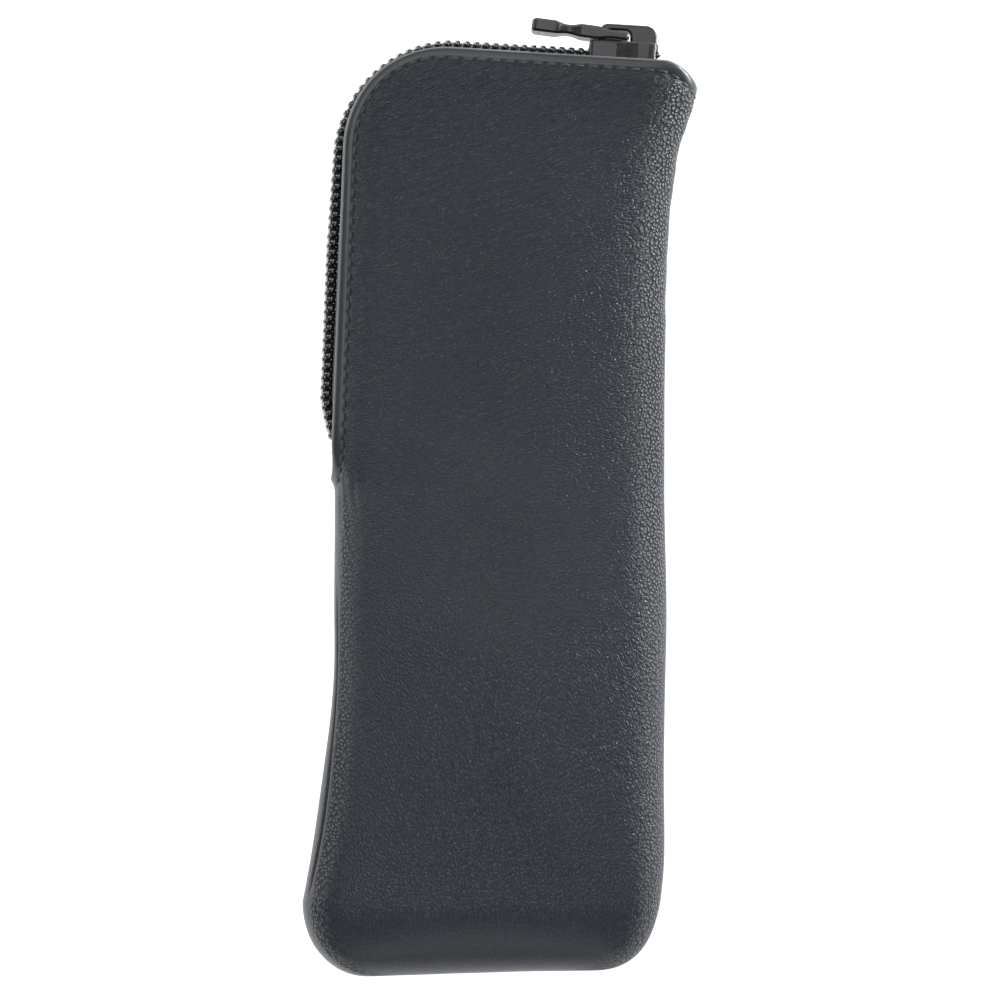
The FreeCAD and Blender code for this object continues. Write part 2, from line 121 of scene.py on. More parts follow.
def section(y):
    """Sizes of the arcs that make the pouch's outline across Y."""
    left, right = left_edge(y), right_edge(y)
    share = (y - belly_y) / (top_y - belly_y)
    crest = hem_stack + belly_bulge * np.maximum(1 - share * share, 0.0)
    front = crest - (crest - zip_plane - seam_ridge / 2) * end_rounding(y)
    low = (zip_plane - seam_ridge / 2 + rest_press) * end_rounding(y) - rest_press
    rise, under = front - zip_plane, zip_plane - low
    fullness = np.maximum(front - hem_stack, 0.0) / belly_bulge
    roll = rise * (hem_shoulder + (belly_shoulder - hem_shoulder) * fullness)
    half = (right - left) / 2 - roll
    crown = (half**2 + rise**2 - roll**2) / (2 * (rise - roll))
    lean = np.arctan2(half, crown - rise)
    fold_end = roll * (math.pi / 2 - lean)
    crown_end = fold_end + 2 * crown * lean
    heel_end = under * math.pi / 2
    flat_end = heel_end + right - left - 2 * under
    return SimpleNamespace(
        left=left, right=right, middle=(left + right) / 2, rise=rise, under=under, roll=roll,
        crown=crown, lean=lean, fold_end=fold_end, crown_end=crown_end, front_end=crown_end + fold_end,
        heel_end=heel_end, flat_end=flat_end, back_end=flat_end + heel_end,
    )


def surface(p, t):
    """Points of the leather's outer face. Below p = 0 they lie on the front, above it on the back."""
    y = np.where(t < base_y, base_y - base_corner_along * np.sin((base_y - t) / end_arc), t)
    c = section(y)
    s = np.abs(p)
    fold, lean = s / c.roll, c.lean - (s - c.fold_end) / c.crown
    left_roll = (c.front_end - s) / c.roll
    where = [s < c.fold_end, s < c.crown_end]
    front_x = np.select(
        where, [c.right - c.roll * (1 - np.cos(fold)), c.middle + c.crown * np.sin(lean)],
        c.left + c.roll * (1 - np.cos(left_roll)),
    )
    front_z = np.select(
        where, [c.roll * np.sin(fold), c.rise - c.crown * (1 - np.cos(lean))], c.roll * np.sin(left_roll)
    )
    heel, left_heel = s / c.under, (c.back_end - s) / c.under
    where = [s < c.heel_end, s < c.flat_end]
    back_x = np.select(
        where, [c.right - c.under * (1 - np.cos(heel)), c.right - c.under - (s - c.heel_end)],
        c.left + c.under * (1 - np.cos(left_heel)),
    )
    back_z = np.select(where, [c.under * np.sin(heel), c.under], c.under * np.sin(left_heel))
    x = np.where(p <= 0, front_x, back_x)
    z = zip_plane + np.where(p <= 0, front_z, -back_z)
    return np.stack([x, y, np.maximum(z, 0.0)], axis=1)


def unit(directions):
    return directions / np.linalg.norm(directions, axis=1, keepdims=True)


def surface_normals(p, t):
    step = 0.02
    across = surface(p + step, t) - surface(p - step, t)
    along = surface(p, t + step) - surface(p, t - step)
    return unit(np.cross(across, along))


def angle_of_roll(reach, radius):
    return radius * np.arccos(np.clip(1 - reach / radius, -1.0, 1.0))


def unrolled(plan, front):
    """Points of the pattern that lie over points in plan."""
    x, y = plan.T
    c = section(y)
    if front:
        edge = c.crown * np.sin(c.lean)
        crown = c.fold_end + c.crown * (c.lean - np.arcsin(np.clip((x - c.middle) / c.crown, -1.0, 1.0)))
        left = c.front_end - angle_of_roll(x - c.left, c.roll)
        where = [x > c.middle + edge, x > c.middle - edge]
        p = -np.select(where, [angle_of_roll(c.right - x, c.roll), crown], left)
    else:
        flat = c.heel_end + c.right - c.under - x
        left = c.back_end - angle_of_roll(x - c.left, c.under)
        where = [x > c.right - c.under, x > c.left + c.under]
        p = np.select(where, [angle_of_roll(c.right - x, c.under), flat], left)
    return np.stack([p, y], axis=1)


side_out = np.array([-math.cos(side_lean), math.sin(side_lean)])
top_along = np.array([math.cos(top_slope), -math.sin(top_slope)])
top_out = np.array([math.sin(top_slope), math.cos(top_slope)])
corner_centre = np.linalg.solve(
    np.array([side_out, top_out]),
    np.array([
        np.dot([side_hem_x(0.0), 0.0], side_out) - zip_corner_radius,
        np.dot([0.0, top_y], top_out) - zip_corner_radius,
    ]),
)
side_tangent = corner_centre + side_out * zip_corner_radius
top_tangent = corner_centre + top_out * zip_corner_radius


def arc_points(centre, radius, start_deg, end_deg, step):
    count = int(radius * math.radians(abs(end_deg - start_deg)) / step) + 2
    angles = np.radians(np.linspace(start_deg, end_deg, count))
    return centre + radius * np.stack([np.cos(angles), np.sin(angles)], axis=1)


def hem_outline(step):
    """The mouth's hem edge in plan: up the left side, round the corner, along the top and over the ear."""
    lean_deg, slope_deg = math.degrees(side_lean), math.degrees(top_slope)
    y = np.arange(hem_end_y, side_tangent[1], step)
    side = np.stack([side_hem_x(y), y], axis=1)
    corner = arc_points(corner_centre, zip_corner_radius, 180 - lean_deg, 90 - slope_deg, step)
    ear_x = waist_half + mouth_flare - ear_radius + side_hem_offset
    run = (ear_x - top_tangent[0]) / top_along[0]
    top = top_tangent + np.arange(step, run, step)[:, None] * top_along
    ear_centre = top_tangent + run * top_along - ear_radius * top_out
    ear = arc_points(ear_centre, ear_radius, 90 - slope_deg, -slope_deg, step)
    outline = np.concatenate([side, corner, top, ear])
    inside = (outline[:, 0] > left_edge(outline[:, 1])) & (outline[:, 0] < right_edge(outline[:, 1]))
    return outline[inside]


def run_along(points):
    """Length of the line through the points up to each of them."""
    return np.concatenate([[0.0], np.cumsum(np.linalg.norm(np.diff(points, axis=0), axis=1))])


def spaced_along(points, step):
    """The line through the points with new points at even steps, and its length up to each of them."""
    lengths = run_along(points)
    stations = np.linspace(0.0, lengths[-1], int(lengths[-1] / step) + 1)
    return np.stack([np.interp(stations, lengths, column) for column in points.T], axis=1), stations


def left_of(line):
    """Unit direction to the left of a line: into the leather along the mouth, outward along the chain."""
    along = unit(np.gradient(line, axis=0))
    return np.stack([-along[:, 1], along[:, 0]], axis=1)


outline_step = 0.05
mouth_step = 0.45
edge_plan = hem_outline(outline_step)
both_edges = np.concatenate([unrolled(edge_plan, False), unrolled(edge_plan, True)[::-1]])
mouth_line, mouth_run = spaced_along(both_edges, mouth_step)
mouth_in = left_of(mouth_line)
mouth_low_y = edge_plan[0, 1]
crease_inset = 3.5
crease_swing = 1.3
crease_swing_y = -52.0
crease_swing_length = 16.0


def crease_reach(y):
    """Way from the left edge over the front to the crease of the turned seam."""
    return crease_inset + crease_swing * bell(y, crease_swing_y, crease_swing_length)


def flat_tree(points):
    """Search tree over points of the pattern."""
    tree = KDTree(len(points))
    for index, (a, b) in enumerate(points):
        tree.insert((a, b, 0.0), index)
    tree.balance()
    return tree


def pattern_piece(edge_inset, rows, seam_rows, front_step, back_step):
    """Triangles over the flat pattern, with rows of points along the mouth and along the seam's crease."""
    bottom_points, seam_points = 90, 190
    rows_low_y, rows_high_y = -70.0, -8.0
    back_from, pattern_half = 9.0, 90.0
    first_row, row_ratio = 0.3, 0.866
    clear_share = 0.6
    same_place = 1e-7
    c = section(np.array([-top_y]))
    share = np.linspace(1.0, 0.0, bottom_points)
    bottom_p = np.concatenate([-c.front_end * share, c.back_end * share[::-1][1:]])
    bottom = np.stack([bottom_p, np.full_like(bottom_p, pattern_bottom)], axis=1)
    seam_t = np.linspace(pattern_bottom, mouth_low_y, seam_points)[1:-1]
    seam_y = surface(np.zeros_like(seam_t), seam_t)[:, 1]
    seam = section(seam_y)
    back_seam = np.stack([seam.back_end, seam_t], axis=1)
    front_seam = np.stack([-seam.front_end, seam_t], axis=1)[::-1]
    mouth = mouth_line + mouth_in * edge_inset[:, None]
    outline = np.concatenate([bottom, back_seam, mouth, front_seam])
    hem_rows = [mouth + mouth_in * distance for distance in rows]
    creased = (seam_y > rows_low_y) & (seam_y < rows_high_y)
    crease = (crease_reach(seam_y) - seam.front_end)[creased]
    hem_rows += [np.stack([crease + distance, seam_t[creased]], axis=1) for distance in seam_rows]
    fixed = np.concatenate([outline] + hem_rows)
    tree = flat_tree(fixed)
    inner = []
    starts, ends = outline, np.roll(outline, -1, axis=0)
    grid_p = np.concatenate([
        np.arange(-pattern_half, back_from, front_step), np.arange(back_from, pattern_half, back_step)
    ])
    skip = max(1, round(back_step / front_step))
    for row, t in enumerate(np.arange(pattern_bottom + first_row, top_y, front_step * row_ratio)):
        crosses = (starts[:, 1] > t) != (ends[:, 1] > t)
        slope = (t - starts[crosses, 1]) / (ends[crosses, 1] - starts[crosses, 1])
        cuts = np.sort(starts[crosses, 0] + slope * (ends[crosses, 0] - starts[crosses, 0]))
        shift = front_step / 2 if row % 2 else 0.0
        for low, high in zip(cuts[0::2], cuts[1::2]):
            for p in grid_p[(grid_p + shift > low) & (grid_p + shift < high)] + shift:
                if p > back_from and row % skip:
                    continue
                gap = clear_share * (back_step if p > back_from else front_step)
                if tree.find((p, t, 0.0))[2] > gap:
                    inner.append((p, t))
    flat = [Vector(point) for point in np.concatenate([fixed, np.array(inner)])]
    points, _, faces, origins, _, _ = delaunay_2d_cdt(
        flat, [], [list(range(len(outline)))], 1, same_place
    )
    place = {source: new for new, sources in enumerate(origins) for source in sources}
    middle = bottom_points - 1
    seam_from, mouth_from, total = len(bottom), len(bottom) + len(back_seam), len(outline)
    return SimpleNamespace(
        points=np.array([tuple(point) for point in points]), faces=[list(face) for face in faces],
        bottom_pairs=[(place[middle + k], place[middle - k]) for k in range(1, middle + 1)],
        fold_foot=place[middle],
        seam_pairs=[(place[seam_from + k], place[total - 1 - k]) for k in range(len(seam_t))],
        mouth=[place[mouth_from + k] for k in range(len(mouth))],
    )


hem_roll = hem_thickness / 2
roll_taper = 5.0
roll_least = 0.12
mouth_end_run = np.minimum(mouth_run, mouth_run[-1] - mouth_run)
edge_roll = np.maximum(hem_roll * ease(mouth_end_run / roll_taper), roll_least)
hem_rows = (0.25, 0.5, 0.72, 0.92, 1.1, 1.28, 1.48, 1.75, 2.1, 2.6, 3.2)
crease_rows = (-0.9, -0.5, -0.25, 0.0, 0.25, 0.5, 0.9)
front_grid = 0.52
back_grid = 1.0
pattern = pattern_piece(edge_roll, hem_rows, crease_rows, front_grid, back_grid)
p, t = pattern.points.T
leather = surface(p, t)
leather_out = surface_normals(p, t)
sizes = section(leather[:, 1])

# From here on a pair called place is a middle and a width, and a pair called rise is a start and a length.
slack_reach = 6.0
slack_taper = 4.0
fold_slack_least = 0.4
fold_slack_rise = (-20.0, 50.0)
seam_slack_most = 0.4
seam_slack_rise = (4.0, -20.0)
fold_slack = bell(p, -sizes.fold_end, slack_reach)
fold_slack *= fold_slack_least + (1 - fold_slack_least) * rise(leather[:, 1], *fold_slack_rise)
seam_slack = seam_slack_most * bell(p, -sizes.crown_end, slack_reach) * rise(leather[:, 1], *seam_slack_rise)
slack = fold_slack * np.clip(-p / slack_taper, 0.0, 1.0)
slack += seam_slack * np.clip((p + sizes.front_end) / slack_taper, 0.0, 1.0)
slack *= 1 - end_rounding(leather[:, 1])
relax_reaches = ((-5.0, 1), (-2.5, 2), (0.0, 3), (2.5, 2), (5.0, 1))
relax_total = sum(weight for _, weight in relax_reaches)
relaxed = sum(weight * surface(p + reach, t) for reach, weight in relax_reaches) / relax_total
relaxed[p > 0] = leather[p > 0]
leather += (relaxed - leather) * np.clip(slack, 0.0, 1.0)[:, None]

# Each bulge of the fold has a height, a place along the case, a length and a steepness.
fold_bulges = ((0.4, -4.0, 48.0, 4), (0.25, -22.0, 18.0, 2), (0.5, 62.0, 14.0, 2))
fold_bulge_reach = 9.0
ear_bulge_place = (-4.0, 7.0)
ear_bulge_rise = (63.0, 8.0)
fold_full = sum(high * bell(leather[:, 1], y, length, power) for high, y, length, power in fold_bulges)
fold_full *= bell(p, 0.0, fold_bulge_reach)
ear_full = bell(p, *ear_bulge_place) * rise(leather[:, 1], *ear_bulge_rise)
swell = leather - surface(p, t) + leather_out * (fold_full + ear_full)[:, None]

mouth_fade = 4.0
mouth_tree = flat_tree(mouth_line)
found = [mouth_tree.find((a, b, 0.0)) for a, b in zip(p, t)]
from_edge = np.array([distance for _, _, distance in found])
nearest_edge = [index for _, index, _ in found]
near_mouth = ease(mouth_end_run[nearest_edge] / mouth_fade)

stitch_inset = 2.2
groove_depth = 0.14
groove_width = 0.36
puff_height = 0.16
puff_place = (4.4, 1.5)
hem_groove = -groove_depth * bell(from_edge, stitch_inset, groove_width) * near_mouth
hem_puff = puff_height * bell(from_edge, *puff_place) * near_mouth

seam_top_gap = 1.0
seam_top_fade = 10.0
crease_top_rise = (-10.0, -14.0)
crease_foot_rise = (-68.0, 6.0)
crease_depth = 0.5
crease_width = 0.38
pillow_height = 0.26
pillow_place = (1.0, 0.7)
below_mouth = rise(leather[:, 1], mouth_low_y + seam_top_gap, -seam_top_fade)
from_seam = p + sizes.front_end - crease_reach(leather[:, 1])
crease_shows = rise(leather[:, 1], *crease_top_rise) * rise(leather[:, 1], *crease_foot_rise)
seam_groove = -crease_depth * bell(from_seam, 0.0, crease_width) * crease_shows
seam_pillow = pillow_height * bell(from_seam, *pillow_place) * crease_shows

stitch_pitch = 2.45
stitch_end_gap = 3.0
stitch_neighbours = 8
needle_depth = 0.12
needle_length = 0.4
needle_width = 0.26
stitch_line = mouth_line + mouth_in * stitch_inset
stitched = mouth_end_run > stitch_end_gap
leather_tree = flat_tree(pattern.points)
near_stitches = [
    [index for _, index, _ in leather_tree.find_n((a, b, 0.0), stitch_neighbours)] for a, b in stitch_line
]
stitch_place = surface(*stitch_line.T) + swell[near_stitches].mean(axis=1)
stitch_run = run_along(stitch_place)
stitch_run -= stitch_run[stitched][0]
stitch_total = stitch_run[stitched][-1]
stitch_step = stitch_total / int(stitch_total / stitch_pitch)
between = (stitch_run[nearest_edge] / stitch_step) % 1.0 - 0.5
needle_holes = bell(between * stitch_step, 0.0, needle_length) * bell(from_edge, stitch_inset, needle_width)
needle_holes *= near_mouth


def waves(size, seed, stretch=1.0):
    """Soft noise over the leather, with waves of about that size in millimetres."""
    return np.array([
        noise.noise(Vector((a / size, b / (size * stretch), c / size + seed))) for a, b, c in leather
    ])


# Dents have a size, a seed, a stretch along the case and a height. Puckers fan out at the seam's top end,
# and ripples lie along the ear.
dents = ((26.0, 3.1, 1.6, 0.42), (11.0, 8.7, 1.4, 0.13))
pucker_height = 0.1
pucker_below_mouth = 2.0
pucker_length = 8.0
pucker_place = (7.0, 4.5)
pucker_waves = 3.2
pucker_stir = 2.0
pucker_slant = 0.25
ripple_height = 0.2
ripple_place = (-5.0, 7.0)
ripple_rise = (22.0, 20.0)
calm_rise = (1.5, 4.0)
calm_back_from = 12.0
calm_back = 0.4
soft = sum(waves(size, seed, stretch) * height for size, seed, stretch, height in dents)
pucker_reach = bell(leather[:, 1], mouth_low_y - pucker_below_mouth, pucker_length)
pucker_reach *= bell(p + sizes.front_end, *pucker_place)
pucker_turn = pucker_waves * p + pucker_stir * waves(size=6.0, seed=21.4) + pucker_slant * leather[:, 1]
pucker = pucker_height * pucker_reach * np.sin(pucker_turn)
ear_side = bell(p, *ripple_place) * rise(leather[:, 1], *ripple_rise)
ripples = ripple_height * ear_side * waves(size=3.4, seed=15.2, stretch=0.8)
lift = hem_groove + hem_puff + seam_groove + seam_pillow - needle_depth * needle_holes
lift += (soft + pucker + ripples) * rise(from_edge, *calm_rise)
lift = np.where(p < calm_back_from, lift, lift * calm_back) + fold_full + ear_full
leather = leather + leather_out * lift[:, None]
leather[:, 2] = np.maximum(leather[:, 2], 0.0)

# The base stands a little askew, and both of its corners are drawn in.
base_sway_rise = (base_y + 14.0, -22.0)
base_tilt = 0.7
base_drop = 0.3
base_spread = 0.4
left_hollow = 0.5
left_hollow_place = (-50.0, 18.0)
right_hollow = 0.8
right_hollow_place = (-72.0, 7.0)
base_share = rise(leather[:, 1], *base_sway_rise)
across_share = 2 * (leather[:, 0] - sizes.middle) / (sizes.right - sizes.left)
left_share = np.minimum(across_share, 0.0)
right_share = np.maximum(across_share, 0.0)
leather[:, 1] += base_share * (base_tilt * across_share - base_drop)
leather[:, 0] += base_share * base_spread * left_share
leather[:, 0] -= left_hollow * left_share**2 * bell(leather[:, 1], *left_hollow_place)
leather[:, 0] -= right_hollow * right_share**2 * bell(leather[:, 1], *right_hollow_place)

roll_steps = 9
edge_probe = 0.05
highlight_rise = (20.0, 30.0)
highlight_end_rise = (125.0, -30.0)
flap_reaches = (1.5, 3.5, 6.0)
edge_points = leather[pattern.mouth]
edge_up = leather_out[pattern.mouth]
beyond = mouth_line + mouth_in * (edge_roll - edge_probe)[:, None]
before = mouth_line + mouth_in * (edge_roll + edge_probe)[:, None]
edge_off = surface(*beyond.T) - surface(*before.T)
edge_off = unit(edge_off - edge_up * np.sum(edge_off * edge_up, axis=1, keepdims=True))
rolled = []
for angle in np.radians(np.linspace(0.0, 180.0, roll_steps))[1:]:
    turned = edge_up * (math.cos(angle) - 1) + edge_off * math.sin(angle)
    degrees = math.degrees(angle)
    # Painted highlight along the rolled hem edge, strongest part way round the roll.
    edge_highlight_share = rise(degrees, *highlight_rise) * rise(degrees, *highlight_end_rise)
    rolled.append((edge_points + turned * edge_roll[:, None], edge_roll * angle, edge_highlight_share))
for reach in flap_reaches:
    flap = -edge_up * 2 * edge_roll[:, None] - edge_off * (reach * edge_roll / hem_roll)[:, None]
    rolled.append((edge_points + flap, edge_roll * math.pi + reach, 0.0))

# Marks for the finish: pressed hem; pebbled fold and seam, whose creases get painted shade and whose pebble
# tips get painted glints; sunken crease and needle holes, painted dark as shade; a painted highlight along
# the rolled hem edge and the seam's crest.
pressed_fade = 0.9
fold_grain_place = (-4.5, 4.8)
fold_grain_least = 0.6
fold_grain_rise = (-30.0, 50.0)
seam_grain_most = 0.7
seam_grain_place = (2.2, 2.4)
seam_grain_rise = (0.8, 1.2)
sunken_width = 0.42
edge_highlight_most = 0.55
edge_highlight_place = (0.85, 0.36)
vertices = [leather]
coordinates = [pattern.points]
pressed = (1 - rise(from_edge, stitch_inset, pressed_fade)) * near_mouth
fold_grain = bell(p, *fold_grain_place)
fold_grain *= fold_grain_least + (1 - fold_grain_least) * rise(leather[:, 1], *fold_grain_rise)
seam_grain = seam_grain_most * bell(from_seam, *seam_grain_place) * below_mouth
seam_grain *= rise(from_seam, *seam_grain_rise)
marks = {
    "pressed": [pressed],
    "pebbled": [np.clip(fold_grain + seam_grain, 0.0, 1.0) * (1 - pressed)],
    # Painted shade in the seam's crease groove and the needle holes; the same mark also makes them rougher.
    "sunken_shade": [np.clip(bell(from_seam, 0.0, sunken_width) * crease_shows + needle_holes, 0.0, 1.0)],
    # Painted highlight: a light line along the crest beside the seam's crease.
    "edge_highlight": [edge_highlight_most * bell(from_seam, *edge_highlight_place) * crease_shows],
}
faces = list(pattern.faces)
previous = list(pattern.mouth)
first = len(leather)
edge_pattern = pattern.points[pattern.mouth]
for row, run, edge_highlight_share in rolled:
    vertices.append(row)
    coordinates.append(edge_pattern - mouth_in * run[:, None])
    for mark, share in (("pressed", 1.0), ("pebbled", 0.0), ("sunken_shade", 0.0), ("edge_highlight", edge_highlight_share)):
        marks[mark].append(np.full(len(row), share))
    current = list(range(first, first + len(row)))
    for k in range(len(row) - 1):
        faces.append([previous[k + 1], previous[k], current[k], current[k + 1]])
    previous = current
    first += len(row)
feet = [(pattern.fold_foot, pattern.fold_foot)] + pattern.bottom_pairs
for (back_a, front_a), (back_b, front_b) in zip(feet, feet[1:]):
    sole = [back_b, back_a, front_a, front_b]
    if front_a == back_a:
        sole = [back_b, front_a, front_b]
    elif (back_b, front_b) == feet[-1]:
        sole = [back_b, back_a, front_a]
    faces.append(sole)
vertices = np.concatenate(vertices) * MM
coordinates = np.concatenate(coordinates)
sewn_to = dict(pattern.seam_pairs)
sewn_to[pattern.bottom_pairs[-1][0]] = pattern.bottom_pairs[-1][1]


def placed(name, data):
    """New object in the scene."""
    piece = bpy.data.objects.new(name, data)
    bpy.context.scene.collection.objects.link(piece)
    return piece


def mesh_piece(name, points, polygons):
    """New object with smooth faces through the points, which are in metres."""
    mesh = bpy.data.meshes.new(name)
    mesh.from_pydata([tuple(point) for point in points], [], polygons)
    mesh.update()
    mesh.shade_smooth()
    return placed(name, mesh)


def sewn_together(polygons, sewn):
    """Polygons with the sewn points joined, and the list of the points that they still use."""
    joined = [[sewn.get(index, index) for index in face] for face in polygons]
    used = sorted({index for face in joined for index in face})
    place = {old: new for new, old in enumerate(used)}
    return [[place[index] for index in face] for face in joined], used


corner_points = [index for face in faces for index in face]
sewn_faces, kept_points = sewn_together(faces, sewn_to)
pouch = mesh_piece("leather_pouch", vertices[kept_points], sewn_faces)
pattern_map = pouch.data.uv_layers.new(name="pattern")
pattern_span = 200.0
pattern_uv = (coordinates[corner_points] + pattern_span / 2) / pattern_span
pattern_map.data.foreach_set("uv", pattern_uv.astype(np.float32).ravel())
for mark, shares in marks.items():
    layer = pouch.data.attributes.new(mark, "FLOAT", "POINT")
    layer.data.foreach_set("value", np.concatenate(shares)[kept_points].astype(np.float32))


def new_material(name):
    material = bpy.data.materials.new(name)
    material.use_nodes = True
    return material, material.node_tree, material.node_tree.nodes["Principled BSDF"]


def feed(tree, node, inputs):
    """Sets the inputs of a node; an output socket given as a value is linked."""
    for key, value in inputs.items():
        if isinstance(value, bpy.types.NodeSocket):
            tree.links.new(value, node.inputs[key])
        else:
            node.inputs[key].default_value = value


def add(tree, kind, inputs=None, **settings):
    """New node with its settings and inputs."""
    node = tree.nodes.new(kind)
    for key, value in settings.items():
        setattr(node, key, value)
    feed(tree, node, inputs or {})
    return node


def maths(tree, operation, *values, kind="ShaderNodeMath", **settings):
    """Output of a math node over values and sockets."""
    return add(tree, kind, dict(enumerate(values)), operation=operation, **settings).outputs[0]


def vector_maths(tree, operation, *values):
    return maths(tree, operation, *values, kind="ShaderNodeVectorMath")


def ramp(tree, value, given=(0.0, 1.0), made=(0.0, 1.0), kind="LINEAR"):
    """Output of a node that turns the given range of a value into the made range."""
    ends = {"From Min": given[0], "From Max": given[1], "To Min": made[0], "To Max": made[1]}
    return add(tree, "ShaderNodeMapRange", {"Value": value, **ends}, interpolation_type=kind).outputs[0]


def mixed(tree, share, low, high, kind="RGBA"):
    """Output of a node that mixes two colours, or two values, by a share."""
    node = add(tree, "ShaderNodeMix", {"Factor": share, "A": low, "B": high}, data_type=kind)
    return node.outputs["Result"]


def cloudy(tree, place, scale, detail, **inputs):
    """Noise node over a place."""
    return add(tree, "ShaderNodeTexNoise", {"Vector": place, "Scale": scale, "Detail": detail, **inputs})


def bumped(tree, height, strength, distance):
    """Normal of a relief; distance in metres."""
    inputs = {"Strength": strength, "Distance": distance, "Height": height}
    return add(tree, "ShaderNodeBump", inputs).outputs[0]


def new_group(name, inputs, outputs):
    """Empty shader node group with named sockets, and its input and output nodes."""
    group = bpy.data.node_groups.new(name, "ShaderNodeTree")
    for socket, value in inputs.items():
        kind = "NodeSocketVector" if value is None else "NodeSocketFloat"
        made = group.interface.new_socket(socket, in_out="INPUT", socket_type=kind)
        if value is not None:
            made.default_value = value
    for socket in outputs:
        group.interface.new_socket(socket, in_out="OUTPUT", socket_type="NodeSocketFloat")
    return group, group.nodes.new("NodeGroupInput").outputs, group.nodes.new("NodeGroupOutput")


def pebble_group():
    """Pebbled grain: drawn-out cells with creases between them, at a turn given in radians."""
    cell_edge, bead_edge, cell_core = 0.34, 0.4, 0.72
    bead_scale, bead_height = 2.6, 0.3
    group, given, made = new_group(
        "pebble_grain", {"Place": None, "Cell": 1.0, "Turn": 0.0, "Stretch": 1.6, "Stir": 1.5},
        ("Height", "Crease", "Dome"),
    )
    turn = add(group, "ShaderNodeVectorRotate", {"Vector": given["Place"], "Angle": given["Turn"]},
               rotation_type="Z_AXIS")
    drawn = add(group, "ShaderNodeCombineXYZ", {"X": 1.0, "Y": given["Stretch"], "Z": 1.0})
    stretched = vector_maths(group, "MULTIPLY", turn.outputs[0], drawn.outputs[0])
    sized = vector_maths(group, "DIVIDE", stretched, given["Cell"])
    stir = cloudy(group, sized, scale=0.55, detail=2.0).outputs["Color"]
    stirred = add(group, "ShaderNodeVectorMath", {0: stir, "Scale": given["Stir"]}, operation="SCALE")
    place = vector_maths(group, "ADD", sized, stirred.outputs[0])

    def cells(scale, feature):
        node = add(group, "ShaderNodeTexVoronoi", {"Vector": place, "Scale": scale},
                   voronoi_dimensions="2D", feature=feature)
        return node.outputs["Distance"]

    dome = ramp(group, cells(1.0, "DISTANCE_TO_EDGE"), (0.0, cell_edge), kind="SMOOTHSTEP")
    bead = ramp(group, cells(bead_scale, "DISTANCE_TO_EDGE"), (0.0, bead_edge), kind="SMOOTHSTEP")
    feed(group, made, {
        "Height": maths(group, "MULTIPLY_ADD", bead, bead_height, dome),
        "Crease": maths(group, "SUBTRACT", 1.0, dome),
        "Dome": ramp(group, cells(1.0, "F1"), (0.0, cell_core), (1.0, 0.0), "SMOOTHSTEP"),
    })
    return group


